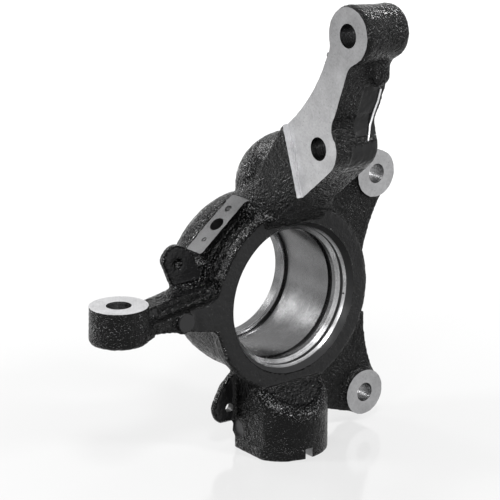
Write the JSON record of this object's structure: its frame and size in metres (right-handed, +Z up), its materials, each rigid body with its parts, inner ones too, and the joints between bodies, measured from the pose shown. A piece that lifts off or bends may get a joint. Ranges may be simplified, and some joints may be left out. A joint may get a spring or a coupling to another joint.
{
  "type": "steering knuckle",
  "caption": "Cast steering knuckle: a drum with the wheel bearing's bore, a leaning strut ear above, a steering arm to one side, brake caliper ears to the other and a ball joint boss below.",
  "frame": {"origin": "on the axis of the wheel bearing's bore, in the middle of its seat", "axes": "+Y along the bearing bore's axis, out to the wheel; the bore's mouth looks to -Y, to the middle of the car. +Z is up, to the strut ear. -X is the side of the steering arm, +X the side of the brake caliper's ears"},
  "size_m": [0.2054, 0.1351, 0.2557],
  "materials": {
    "casting": "rough as cast under a thin glossy black coat, with bare milled, turned and ground faces"
  },
  "bodies": {
    "root": {"steering_knuckle": "casting"}
  },
  "joints": []
}
